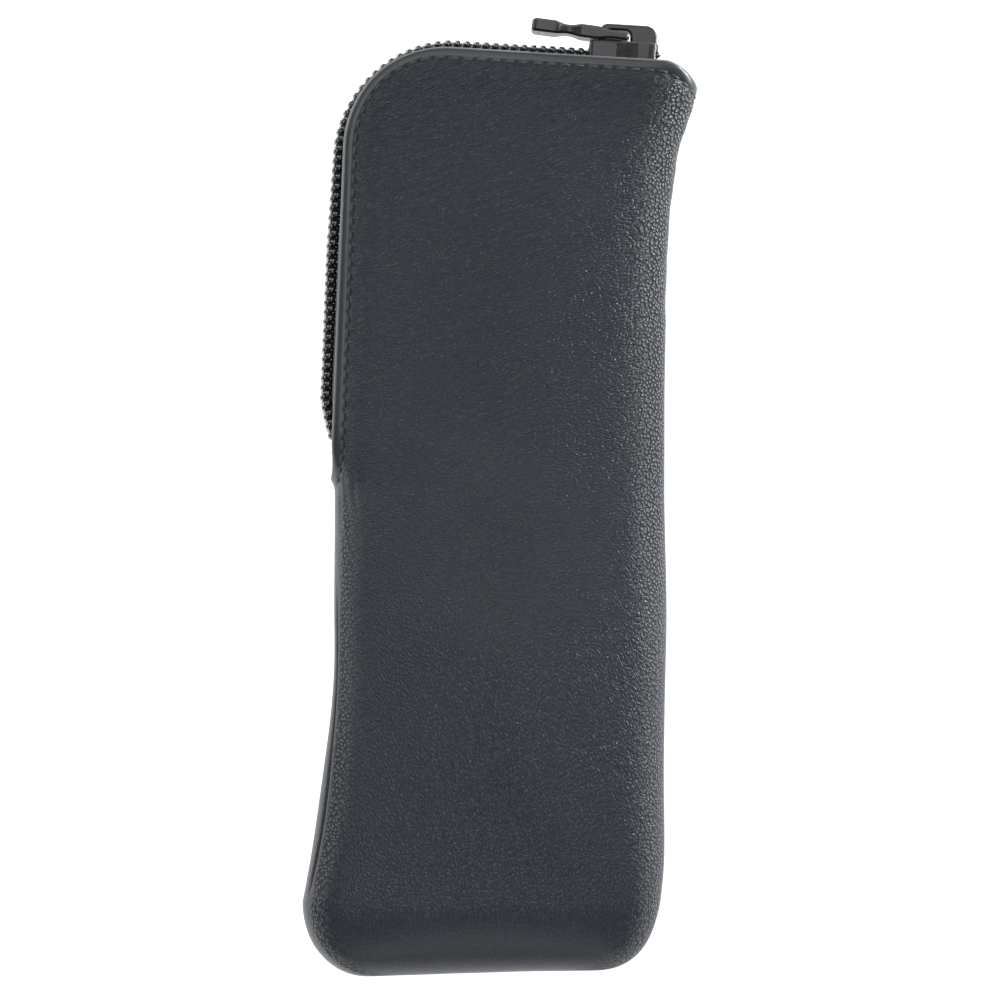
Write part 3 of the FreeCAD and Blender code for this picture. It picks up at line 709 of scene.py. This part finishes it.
def leather_finish():
    # Painted light in the colour: the creases of the grain are painted dark as shade, the pebble tips on the
    # fold and seam get painted glints, the rolled hem edge and the seam's crest get a painted highlight, and
    # the seam crease and needle holes get painted shade.
    deep_tone, light_tone = (0.0205, 0.0284, 0.0428, 1.0), (0.0270, 0.0377, 0.0562, 1.0)
    # A dark tone painted as shade in the creases, and a light tone painted as glints on the pebble tips.
    crease_shade_tone, painted_glint_tone = (0.0060, 0.0070, 0.0090, 1.0), (0.270, 0.310, 0.350, 1.0)
    # The hem's own tone, and a light tone painted as a highlight along the rolled hem edge and the seam's
    # crest.
    hem_tone, edge_highlight_tone = (0.0300, 0.0385, 0.0430, 1.0), (0.10, 0.11, 0.12, 1.0)
    # A near-black tone painted as shade in the seam crease and the needle holes.
    hole_shade_tone = (0.0020, 0.0025, 0.0030, 1.0)
    zone_drift, zone_ends = 60.0, (100.0, 150.0)
    base_ends, base_relief, upper_relief = (24.0, 52.0), (0.2, 0.7), 1.2
    plain_relief, pebble_relief, knob_height, pore_height = (0.62, 0.06), 1.6, 0.45, 0.35
    crease_shade_share, hem_share, tip_ends, tip_share = 0.5, 0.75, (0.6, 0.95), (0.0, 0.8)
    gloss_ends, dull_share = (0.30, 0.40), 0.4
    material, tree, shader = new_material("slate_leather")
    uv = add(tree, "ShaderNodeUVMap", uv_map="pattern")
    place = vector_maths(tree, "MULTIPLY", uv.outputs[0], (pattern_span, pattern_span, 0.0))
    grain = pebble_group()
    layers = []
    for cell, turn, stretch, stir in ((1.1, -0.4, 2.2, 1.5), (1.0, 1.15, 1.7, 1.5), (0.75, 0.6, 1.1, 0.8)):
        values = {"Place": place, "Cell": cell, "Turn": turn, "Stretch": stretch, "Stir": stir}
        layers.append(add(tree, "ShaderNodeGroup", values, node_tree=grain).outputs)
    upper, lower, pebbles = layers
    # The sunken mark carries painted shade, and the edge mark a painted highlight.
    press, coarse, edge_highlight_mask, sink = [
        add(tree, "ShaderNodeAttribute", attribute_name=mark).outputs["Fac"]
        for mark in ("pressed", "pebbled", "edge_highlight", "sunken_shade")
    ]
    along = add(tree, "ShaderNodeSeparateXYZ", {0: place}).outputs["Y"]
    drift = cloudy(tree, place, scale=0.05, detail=2.0).outputs[0]
    zone = ramp(tree, maths(tree, "MULTIPLY_ADD", drift, zone_drift, along), zone_ends)
    quiet_lower = maths(tree, "MULTIPLY", lower["Height"], ramp(tree, along, base_ends, base_relief))
    strong_upper = maths(tree, "MULTIPLY", upper["Height"], upper_relief)
    fine = mixed(tree, zone, quiet_lower, strong_upper, "FLOAT")
    creased = mixed(tree, zone, lower["Crease"], upper["Crease"], "FLOAT")
    pores = cloudy(tree, place, scale=2.8, detail=3.0, Roughness=0.6).outputs[0]
    keep = maths(tree, "MULTIPLY_ADD", coarse, pebble_relief, ramp(tree, press, made=plain_relief))
    knobs = maths(tree, "MULTIPLY_ADD", pebbles["Height"], knob_height, pebbles["Dome"])
    shaped = mixed(tree, coarse, fine, knobs, "FLOAT")
    grained = maths(tree, "MULTIPLY_ADD", pores, pore_height, shaped)
    relief = maths(tree, "MULTIPLY", grained, keep)
    clouds = cloudy(tree, place, scale=0.09, detail=4.0).outputs[0]
    sunk_pebble = maths(tree, "MULTIPLY", pebbles["Crease"], coarse)
    # Painted shade: the creases of the grain and of the pebbles are darkened.
    dark = maths(tree, "MULTIPLY_ADD", creased, crease_shade_share, sunk_pebble, use_clamp=True)
    # Painted highlight: lighter pebble tips along the fold and seam stand in for glints.
    tips = ramp(tree, pebbles["Dome"], tip_ends, tip_share, "SMOOTHSTEP")
    painted_glints = maths(tree, "MULTIPLY", tips, coarse)
    hem = maths(tree, "MULTIPLY", press, hem_share)
    colour = mixed(tree, clouds, deep_tone, light_tone)
    for share, tone in ((dark, crease_shade_tone), (painted_glints, painted_glint_tone), (hem, hem_tone),
                        (edge_highlight_mask, edge_highlight_tone), (sink, hole_shade_tone)):
        colour = mixed(tree, share, colour, tone)
    dull = maths(tree, "MULTIPLY_ADD", sunk_pebble, dull_share, ramp(tree, clouds, made=gloss_ends))
    feed(tree, shader, {
        "Base Color": colour, "Roughness": maths(tree, "MULTIPLY_ADD", sink, dull_share, dull),
        "Normal": bumped(tree, relief, strength=0.8, distance=0.00018), "Specular IOR Level": 0.55,
    })
    return material


leather_material = leather_finish()
pouch.data.materials.append(leather_material)
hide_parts("leather_body")
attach(pouch, "case")


# Hem stitching: one line of dark thread through the folded hem, all the way round the zip mouth
# from the back over the ear to the front. Each stitch lies in a pressed groove and dips at both ends.
stitch_length = 1.7
stitch_width = 0.34
stitch_flatness = 0.8
stitch_blunt = 0.12
stitch_dip = 0.34
stitch_sink = 0.02
stitch_sides = 6


def repeat_tree():
    """Node tree that sets a piece along a path, X along it and Z the way that it faces."""
    tree = bpy.data.node_groups.new("repeat_along_path", "GeometryNodeTree")
    for socket, kind in (("Path", "NodeSocketGeometry"), ("Pitch", "NodeSocketFloat"),
                         ("Piece", "NodeSocketObject"), ("Finish", "NodeSocketMaterial")):
        tree.interface.new_socket(socket, in_out="INPUT", socket_type=kind)
    tree.interface.new_socket("Pieces", in_out="OUTPUT", socket_type="NodeSocketGeometry")
    given = tree.nodes.new("NodeGroupInput").outputs
    made = tree.nodes.new("NodeGroupOutput")
    curve = add(tree, "GeometryNodeMeshToCurve", {"Mesh": given["Path"]})
    even = add(tree, "GeometryNodeResampleCurve", {"Curve": curve.outputs[0], "Length": given["Pitch"]},
               mode="LENGTH")
    points = add(tree, "GeometryNodeCurveToPoints", {"Curve": even.outputs[0]}, mode="EVALUATED").outputs
    facing = add(tree, "GeometryNodeInputNamedAttribute", {"Name": "facing"}, data_type="FLOAT_VECTOR")
    turn = add(tree, "FunctionNodeAxesToRotation", {"Primary Axis": points["Tangent"],
               "Secondary Axis": facing.outputs["Attribute"]}, primary_axis="X", secondary_axis="Z")
    piece = add(tree, "GeometryNodeObjectInfo", {"Object": given["Piece"]})
    pieces = add(tree, "GeometryNodeInstanceOnPoints", {"Points": points["Points"],
                 "Instance": piece.outputs["Geometry"], "Rotation": turn.outputs[0]})
    plain = add(tree, "GeometryNodeRealizeInstances", {"Geometry": pieces.outputs[0]})
    finish = add(tree, "GeometryNodeSetMaterial", {"Geometry": plain.outputs[0], "Material": given["Finish"]})
    feed(tree, made, {0: finish.outputs[0]})
    return tree


repeat_along_path = repeat_tree()


def repeated(name, path, facing, pitch, piece, finish):
    """Plain mesh object of a piece repeated along a path; path and pitch in metres."""
    mesh = bpy.data.meshes.new(name)
    mesh.from_pydata([tuple(point) for point in path], [(k, k + 1) for k in range(len(path) - 1)], [])
    mark = mesh.attributes.new("facing", "FLOAT_VECTOR", "POINT")
    mark.data.foreach_set("vector", np.asarray(facing, np.float32).ravel())
    row = placed(name, mesh)
    modifier = row.modifiers.new("repeat", "NODES")
    modifier.node_group = repeat_along_path
    sockets = {item.name: item.identifier for item in repeat_along_path.interface.items_tree}
    modifier[sockets["Pitch"]] = pitch
    modifier[sockets["Piece"]] = piece
    modifier[sockets["Finish"]] = finish
    bpy.context.view_layer.update()
    graph = bpy.context.evaluated_depsgraph_get()
    result = bpy.data.meshes.new_from_object(row.evaluated_get(graph), depsgraph=graph)
    row.modifiers.clear()
    row.data = result
    bpy.data.meshes.remove(mesh)
    result.shade_smooth()
    return row


def ring_tube(name, *tubes):
    """Object of one or more tubes, whose skin runs through closed rings of points, capped at both ends."""
    points, polygons = [], []
    for rings in tubes:
        start, count = len(points), len(rings[0])
        points += [point for ring in rings for point in ring]
        for k in range(len(rings) - 1):
            for j in range(count):
                a, b = start + k * count + j, start + k * count + (j + 1) % count
                polygons.append([a, b, b + count, a + count])
        polygons.append(list(range(start, start + count))[::-1])
        polygons.append(list(range(len(points) - count, len(points))))
    return mesh_piece(name, points, polygons)


def stitch_shape():
    rings = []
    for share in (-1.0, -0.86, -0.5, 0.0, 0.5, 0.86, 1.0):
        fat = math.sqrt(max(1 - share**4, 0.0)) * 0.5 + stitch_blunt
        sink = -stitch_dip * abs(share) ** 5
        ring = []
        for k in range(stitch_sides):
            angle = 2 * math.pi * k / stitch_sides
            ring.append((
                share * stitch_length / 2 * MM, math.cos(angle) * fat * stitch_width * MM,
                (math.sin(angle) * fat * stitch_width * stitch_flatness + sink) * MM,
            ))
        rings.append(ring)
    return ring_tube("stitch_shape", rings)


def mottle_group():
    """Fine cloudy variation for small plain pieces: a share from 0 to 1 over the surface."""
    group, given, made = new_group("mottle", {"Place": None, "Size": 0.001}, ("Share",))
    sized = vector_maths(group, "DIVIDE", given["Place"], given["Size"])
    cloud = cloudy(group, sized, scale=1.0, detail=4.0).outputs[0]
    feed(group, made, {"Share": ramp(group, cloud, given=(0.3, 0.7))})
    return group


mottle = mottle_group()


def mottled_finish(name, size, dark, light, rough, relief, strength=0.4, grain=None, others=None):
    """Material with a cloudy colour and roughness and a fine relief, or a finer grain; sizes in metres."""
    material, tree, shader = new_material(name)
    place = add(tree, "ShaderNodeTexCoord").outputs["Object"]
    cloud = add(tree, "ShaderNodeGroup", {"Place": place, "Size": size}, node_tree=mottle).outputs[0]
    height = cloudy(tree, place, scale=grain, detail=2.0).outputs[0] if grain else cloud
    feed(tree, shader, {
        "Base Color": mixed(tree, cloud, (*dark, 1.0), (*light, 1.0)),
        "Roughness": ramp(tree, cloud, made=rough),
        "Normal": bumped(tree, height, strength, relief), **(others or {}),
    })
    return material


thread_material = mottled_finish(
    "hem_thread", size=0.00025, dark=(0.030, 0.035, 0.037), light=(0.095, 0.105, 0.110), rough=(0.4, 0.6),
    relief=0.00004,
)
stitch_p, stitch_t = stitch_line[stitched].T
stitch_out = surface_normals(stitch_p, stitch_t)
stitch_path = (stitch_place[stitched] + stitch_out * -stitch_sink) * MM
stitch = stitch_shape()
stitching = repeated("hem_stitching", stitch_path, stitch_out, stitch_pitch * MM, stitch, thread_material)
bpy.data.objects.remove(stitch)
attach(stitching, "case")


# Lining: a thin woven bag inside the leather, sewn in under the zip tapes.
# It only shows through the slit of the zip, so it is one plain sheet with a hem.
lining_edge_inset = 3.2
lining_front_grid = 2.4
lining_back_grid = 3.0
lining_foot = 5.5
lining_depth = 2.9
lining_thickness = 0.4
lining_pattern = pattern_piece(
    np.full(len(mouth_line), lining_edge_inset), (), (), lining_front_grid, lining_back_grid
)
lining_p, lining_t = lining_pattern.points.T
lining_t = np.maximum(lining_t, pattern_bottom + lining_foot)
lining_points = surface(lining_p, lining_t) - surface_normals(lining_p, lining_t) * lining_depth
lining_faces, lining_kept = sewn_together(lining_pattern.faces, dict(lining_pattern.seam_pairs))
lining = mesh_piece("lining_bag", lining_points[lining_kept] * MM, lining_faces)


def woven_finish(name, dark, light, pitch):
    """Twill weave: fine slanted ribs crossed by the warp, sized by the pitch in metres."""
    material, tree, shader = new_material(name)
    place = add(tree, "ShaderNodeTexCoord")
    parts = add(tree, "ShaderNodeSeparateXYZ", {0: place.outputs["Object"]}).outputs
    slant = maths(tree, "ADD", parts["X"], parts["Y"])
    ribs = []
    for operation in ("ADD", "SUBTRACT"):
        line = maths(tree, operation, slant, parts["Z"])
        ribs.append(maths(tree, "SINE", maths(tree, "MULTIPLY", line, 2 * math.pi / pitch)))
    share = ramp(tree, maths(tree, "MAXIMUM", *ribs), given=(-0.6, 1.0))
    feed(tree, shader, {
        "Base Color": mixed(tree, share, (*dark, 1.0), (*light, 1.0)),
        "Normal": bumped(tree, share, strength=0.6, distance=0.00008),
        "Roughness": 0.85, "Sheen Weight": 0.15,
    })
    return material


lining_material = woven_finish(
    "lining_cloth", dark=(0.012, 0.012, 0.014), light=(0.03, 0.03, 0.034), pitch=0.0006
)
lining.data.materials.append(lining_material)
cloth = lining.modifiers.new("cloth", "SOLIDIFY")
cloth.thickness = lining_thickness * MM
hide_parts("lining")
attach(lining, "case")


# Zip tapes: two woven strips that carry the coils. Each stands across the mouth behind its coil
# and turns in under the hem, where the hem stitching holds it.
tape_thickness = 0.6
tape_middle = 0.9
tape_depth = 2.62
tape_slit_half = 1.2
tape_step = 0.8
tape_stand = (0.0, 0.35, 0.7, 0.9)
tape_turn = (0.25, 1.2, 4.0, 9.0)
chain_low_y = 12.6
tape_tail = 5.0
slider_nose_x = 28.0
dive_length = 7.6
dive_depth = 2.0
dive_curve = 1.2
side_bow_depth = 0.8
side_bow_top = 8.0
side_bow_length = 26.0
corner_tuck_depth = 0.4


def chain_path(step, start_y, end_x):
    """Hem edge in plan with its outward direction, from a height on the side to a width on the top."""
    line = hem_outline(outline_step)
    line = line[(line[:, 1] >= start_y) & (line[:, 0] <= end_x)]
    line, run = spaced_along(line, step)
    out = left_of(line)
    on_side = line[:, 0] < 0
    dive_share = np.clip(1 - (line[:, 1] - chain_low_y) / dive_length, 0.0, 1.0)
    dive = dive_depth * dive_share**dive_curve * on_side
    side_bow = np.clip((side_tangent[1] + side_bow_top - line[:, 1]) / side_bow_length, 0.0, 1.0) * on_side
    corner_tuck = corner_tuck_depth * np.maximum(-2 * out[:, 0] * out[:, 1], 0.0)
    return line, run, out, dive - side_bow_depth * side_bow + corner_tuck


def hem_level(plan, front):
    """Height of the leather's outer face over points in plan."""
    return surface(*unrolled(plan, front).T)[:, 2]


tape_material = woven_finish(
    "zip_tape_twill", dark=(0.006, 0.006, 0.007), light=(0.024, 0.024, 0.026), pitch=0.0007
)
for node, side in (("zip_tape_front", 1), ("zip_tape_back", -1)):
    plan, _, out, dive = chain_path(tape_step, chain_low_y - tape_tail, slider_nose_x + tape_tail)
    corner_plan = plan - out * (tape_middle + dive)[:, None]
    corner_z = hem_level(corner_plan, side > 0) - side * tape_depth
    slit_z = zip_plane + side * tape_slit_half
    rows = []
    for share in tape_stand:
        rows.append(np.column_stack([corner_plan, slit_z + (corner_z - slit_z) * share]))
    for reach in tape_turn:
        inner = corner_plan - out * reach
        rows.append(np.column_stack([inner, hem_level(inner, side > 0) - side * tape_depth]))
    strip = [point for row in rows for point in row * MM]
    count = len(plan)
    polygons = []
    for k in range(len(rows) - 1):
        for j in range(count - 1):
            quad = [k * count + j, k * count + j + 1, (k + 1) * count + j + 1, (k + 1) * count + j]
            polygons.append(quad if side < 0 else quad[::-1])
    tape = mesh_piece(node.replace("zip_tape", "woven_tape"), strip, polygons)
    tape.data.materials.append(tape_material)
    web = tape.modifiers.new("web", "SOLIDIFY")
    web.thickness = tape_thickness * MM
    web.offset = 0.0
    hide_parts(node)
    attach(tape, "case")


# Zip coils: two nylon filaments wound into flat loops whose heads lock into each other. The loops'
# return legs lie slanted on the outside, so the closed chain looks like a rope along the hem edge.
# Along the slider's run the heads are a piece of their own, which the slider gathers up as it opens the zip.
coil_pitch = 1.67
pitch_slip = 0.998
root_filament = 1.16
head_filament = 0.8
coil_half_width = 2.5
root_inset = 0.1
head_overlap = 0.5
leg_turn = 0.5
leg_lift = 0.12
coil_base = -0.57
coil_height = 2.4
coil_spread = 1.1
coil_sides = 6
chain_step = 0.1
throat_length = 3.8
shoulder_length = 3.6
divider_setback = 0.6
divider_length = 3.6
slider_length = 12.2
slider_travel = 23.0
slider_margin = 0.3
slot_half = 0.64
head_play = 0.05


def filament_rings(line, radii, sides, forced):
    """Rings of points round a filament along a line; forced gives the direction at some of its points."""
    nearly_along = 0.95
    angles = [2 * math.pi * j / sides for j in range(sides)]
    last = len(line) - 1
    rings = []
    for k, point in enumerate(line):
        along = forced.get(k, line[min(k + 1, last)] - line[max(k - 1, 0)]).normalized()
        across = Vector((1, 0, 0)) if abs(along.x) < nearly_along else Vector((0, 1, 0))
        first = (across - along * across.dot(along)).normalized()
        second = along.cross(first)
        rings.append([(point + (first * math.cos(a) + second * math.sin(a)) * radii[k]) * MM for a in angles])
    return rings


def loop_shapes(side):
    """One turn of the filament, the same turn without its head, and the head alone."""
    thick, slim = root_filament / 2, head_filament / 2
    low, high = coil_base + thick, coil_base + coil_height - thick
    middle = (low + high) / 2
    root, head = coil_half_width - thick - root_inset, slim - head_overlap
    # Each point: along the chain, out of the mouth, off the zip's middle, and from slim 0 to thick 1.
    line = [
        (-coil_pitch / 2, middle, root + 0.08, 1.0), (-leg_turn, low + leg_lift, root + 0.02, 1.0),
        (-0.36, low, root - 0.4, 0.8), (-0.1, low, 1.1, 0.3), (-0.05, low + 0.05, slot_half, 0.2),
        (0.0, low + 0.1, head + 0.35, 0.1), (0.03, middle, head, 0.0), (0.06, high - 0.1, head + 0.35, 0.1),
        (0.08, high - 0.05, slot_half, 0.2), (0.1, high, 1.1, 0.3), (0.36, high, root - 0.4, 0.8),
        (leg_turn, high - leg_lift, root + 0.02, 1.0), (coil_pitch / 2, middle, root + 0.08, 1.0),
    ]
    fat = [slim + (thick - slim) * share for _, _, _, share in line]
    line = [Vector((x, z * -side, out)) for x, out, z, _ in line]
    cut_low, cut_high = 4, 8
    leg_along = Vector((coil_pitch / 2 - leg_turn, 0, low + leg_lift - middle))
    inward = Vector((0, side, 0))
    forced = {0: leg_along, cut_low: inward, cut_high: -inward, len(line) - 1: leg_along}
    rings = filament_rings(line, fat, coil_sides, forced)
    head_rings = rings[cut_low:cut_high + 1]
    for k in (0, -1):
        head_rings[k] = [point + Vector((0, side * head_play * MM, 0)) for point in head_rings[k]]
    whole = ring_tube("loop_shape", rings)
    legs = ring_tube("loop_legs", rings[:cut_low + 1], rings[cut_high:])
    return whole, legs, ring_tube("loop_head", head_rings)


def chain_stations(stations):
    """Points of the hem edge at lengths from the chain's lower end, with outward directions and dive."""
    line, run, out, dive = chain_path(chain_step, chain_low_y, slider_nose_x)
    columns = np.column_stack([line, out, dive])
    found = np.stack([np.interp(stations, run, column) for column in columns.T], axis=1)
    return found[:, 0:2], found[:, 2:4], found[:, 4], run[-1]


coil_material = mottled_finish(
    "coil_nylon", size=0.0006, dark=(0.013, 0.013, 0.015), light=(0.030, 0.030, 0.033), rough=(0.16, 0.24),
    relief=0.00002,
    others={"Coat Weight": 1.0, "Coat IOR": 1.7, "Coat Roughness": 0.12, "Specular IOR Level": 0.9},
)
chain_length = chain_stations(np.zeros(1))[3]
throat_start = chain_length - shoulder_length - throat_length
run_start = chain_length - slider_length - slider_travel - slider_margin
slot_end = chain_length - divider_setback - divider_length


def coil_row(first, last, side, shape):
    """Loops of one coil between two lengths along the chain; every loop stands aside inside the throat."""
    nearly_none, points_per_turn = 0.01, 4
    turns = int((last - first) / coil_pitch + nearly_none)
    stations = np.linspace(first, first + turns * coil_pitch, points_per_turn * turns + 1)
    plan, out, dive, _ = chain_stations(stations)
    plan = plan - out * dive[:, None]
    parting = coil_spread * np.clip((stations - throat_start) / throat_length, 0.0, 1.0)
    coil_line = np.column_stack([plan, zip_plane + side * parting]) * MM
    coil_facing = np.column_stack([out, np.zeros(len(out))])
    return repeated("coil_row", coil_line, coil_facing, coil_pitch * pitch_slip * MM, shape, coil_material)


def gathered(name, rows):
    """One object of several rows of loops."""
    whole = bmesh.new()
    for row in rows:
        whole.from_mesh(row.data)
        bpy.data.objects.remove(row)
    mesh = bpy.data.meshes.new(name)
    whole.to_mesh(mesh)
    whole.free()
    mesh.materials.append(coil_material)
    return placed(name, mesh)


head_rows = []
for node, side, first_loop in (("zip_coil_front", 1, coil_pitch / 2), ("zip_coil_back", -1, coil_pitch)):
    whole, legs, head = loop_shapes(side)
    run_first = first_loop + coil_pitch * math.ceil((run_start - first_loop) / coil_pitch)
    end_first = first_loop + coil_pitch * math.ceil((slot_end - first_loop) / coil_pitch)
    coil = gathered(node.replace("zip_coil", "wound_coil"), [
        coil_row(first_loop, run_first - coil_pitch, side, whole),
        coil_row(run_first, end_first - coil_pitch, side, legs),
        coil_row(end_first, chain_length - divider_setback, side, whole),
    ])
    head_rows.append(coil_row(run_first, throat_start, side, head))
    for shape in (whole, legs, head):
        bpy.data.objects.remove(shape)
    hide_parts(node)
    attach(coil, "case")
heads = gathered("locked_coil_heads", head_rows)
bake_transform(heads)


# Filler cords: a plain twisted cord lies inside each coil and keeps its loops round.
# They end where the coils part inside the slider.
cord_radius = 0.4
cord_off_middle = 1.5
cord_points = 130
cord_sides = 8
cord_material = mottled_finish(
    "filler_cord", size=0.0004, dark=(0.008, 0.008, 0.009), light=(0.02, 0.02, 0.022), rough=(0.7, 0.85),
    relief=0.00005,
)
for node, side in (("coil_cord_front", 1), ("coil_cord_back", -1)):
    stations = np.linspace(0.0, throat_start, cord_points)
    plan, out, dive, _ = chain_stations(stations)
    plan = plan + out * (coil_base + coil_height / 2 - dive)[:, None]
    cord_line = [Vector((x, y, zip_plane + side * cord_off_middle)) for x, y in plan]
    rings = filament_rings(cord_line, [cord_radius] * cord_points, cord_sides, {})
    cord = ring_tube(node.replace("coil_cord", "filler_cord"), rings)
    cord.data.materials.append(cord_material)
    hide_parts(node)
    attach(cord, "case")


# Zip stops, slider and pull: cast zinc with a cloudy dark satin coating over the grain of the casting.
# The stops are crimped on the tapes' ends, and the pull hangs by its eye from the slider's crown.
cast_material = mottled_finish(
    "satin_cast_metal", size=0.0012, dark=(0.024, 0.022, 0.023), light=(0.042, 0.039, 0.040),
    rough=(0.26, 0.38), relief=0.00002, strength=0.1, grain=5200.0, others={"Metallic": 0.2},
)
for node in ("top_stop_front", "top_stop_back", "bottom_stop", "slider_body", "zip_pull"):
    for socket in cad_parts[node].material_slots:
        socket.material = cast_material


# Studio: a plain white table under a white surround, with a large soft lamp behind the top end, one above
# the front, a weak one before the base, and two low ones that graze the fold and the zip side.
table_half = 3.0
table_z = -0.0002
table_corners = ((-1, -1), (1, -1), (1, 1), (-1, 1))
floor = mesh_piece(
    "table_top", [(x * table_half, y * table_half, table_z) for x, y in table_corners], [[0, 1, 2, 3]]
)
floor_material, floor_tree, floor_shader = new_material("white_table")
floor_ray = add(floor_tree, "ShaderNodeLightPath").outputs
floor_seen = maths(floor_tree, "MAXIMUM", floor_ray["Is Camera Ray"], floor_ray["Is Glossy Ray"])
feed(floor_tree, floor_shader, {
    "Base Color": (0.92, 0.92, 0.92, 1.0), "Roughness": 0.9, "Specular IOR Level": 0.1,
    "Emission Color": (1.0, 1.0, 1.0, 1.0),
    "Emission Strength": ramp(floor_tree, floor_seen, made=(0.0, 0.85)),
})
floor.data.materials.append(floor_material)

world = bpy.data.worlds.new("white_surround")
bpy.context.scene.world = world
world.use_nodes = True
sky = world.node_tree
sky_ray = add(sky, "ShaderNodeLightPath").outputs["Is Camera Ray"]
feed(sky, sky.nodes["Background"], {
    "Color": (1.0, 1.0, 1.0, 1.0), "Strength": ramp(sky, sky_ray, made=(0.25, 1.0)),
})


def soft_lamp(name, place, aim, size, watts):
    lamp = bpy.data.lights.new(name, "AREA")
    lamp.shape = "RECTANGLE"
    lamp.size, lamp.size_y = size
    lamp.energy = watts
    holder = placed(name, lamp)
    holder.location = place
    holder.rotation_euler = (Vector(aim) - Vector(place)).to_track_quat("-Z", "Y").to_euler()


soft_lamp("overhead_lamp", place=(0.0, 0.5, 0.7), aim=(0.0, 0.0, 0.0), size=(0.9, 0.5), watts=2.1)
soft_lamp("sheen_lamp", place=(-0.03, 0.07, 0.9), aim=(0.0, 0.0, 0.0), size=(0.24, 0.34), watts=1.3)
soft_lamp("right_lamp", place=(0.3, 0.17, 0.009), aim=(0.0, 0.04, 0.009), size=(0.25, 0.015), watts=1.6)
soft_lamp("left_lamp", place=(-0.3, 0.16, 0.045), aim=(0.0, 0.03, 0.01), size=(0.25, 0.05), watts=0.29)
soft_lamp("near_lamp", place=(0.0, -0.5, 0.36), aim=(0.0, 0.0, 0.0), size=(0.5, 0.3), watts=0.45)


# Camera: straight above the case, a little over half a metre away, with a long lens as in the photograph.
# The picture's colours go out plain, without a film look.
camera = bpy.data.cameras.new("camera")
camera.lens = 123.4
camera.sensor_width = 36.0
camera_holder = placed("camera", camera)
camera_holder.location = (0.00018, 0.00219, 0.615)
bpy.context.scene.camera = camera_holder
bpy.context.scene.view_settings.view_transform = "Standard"
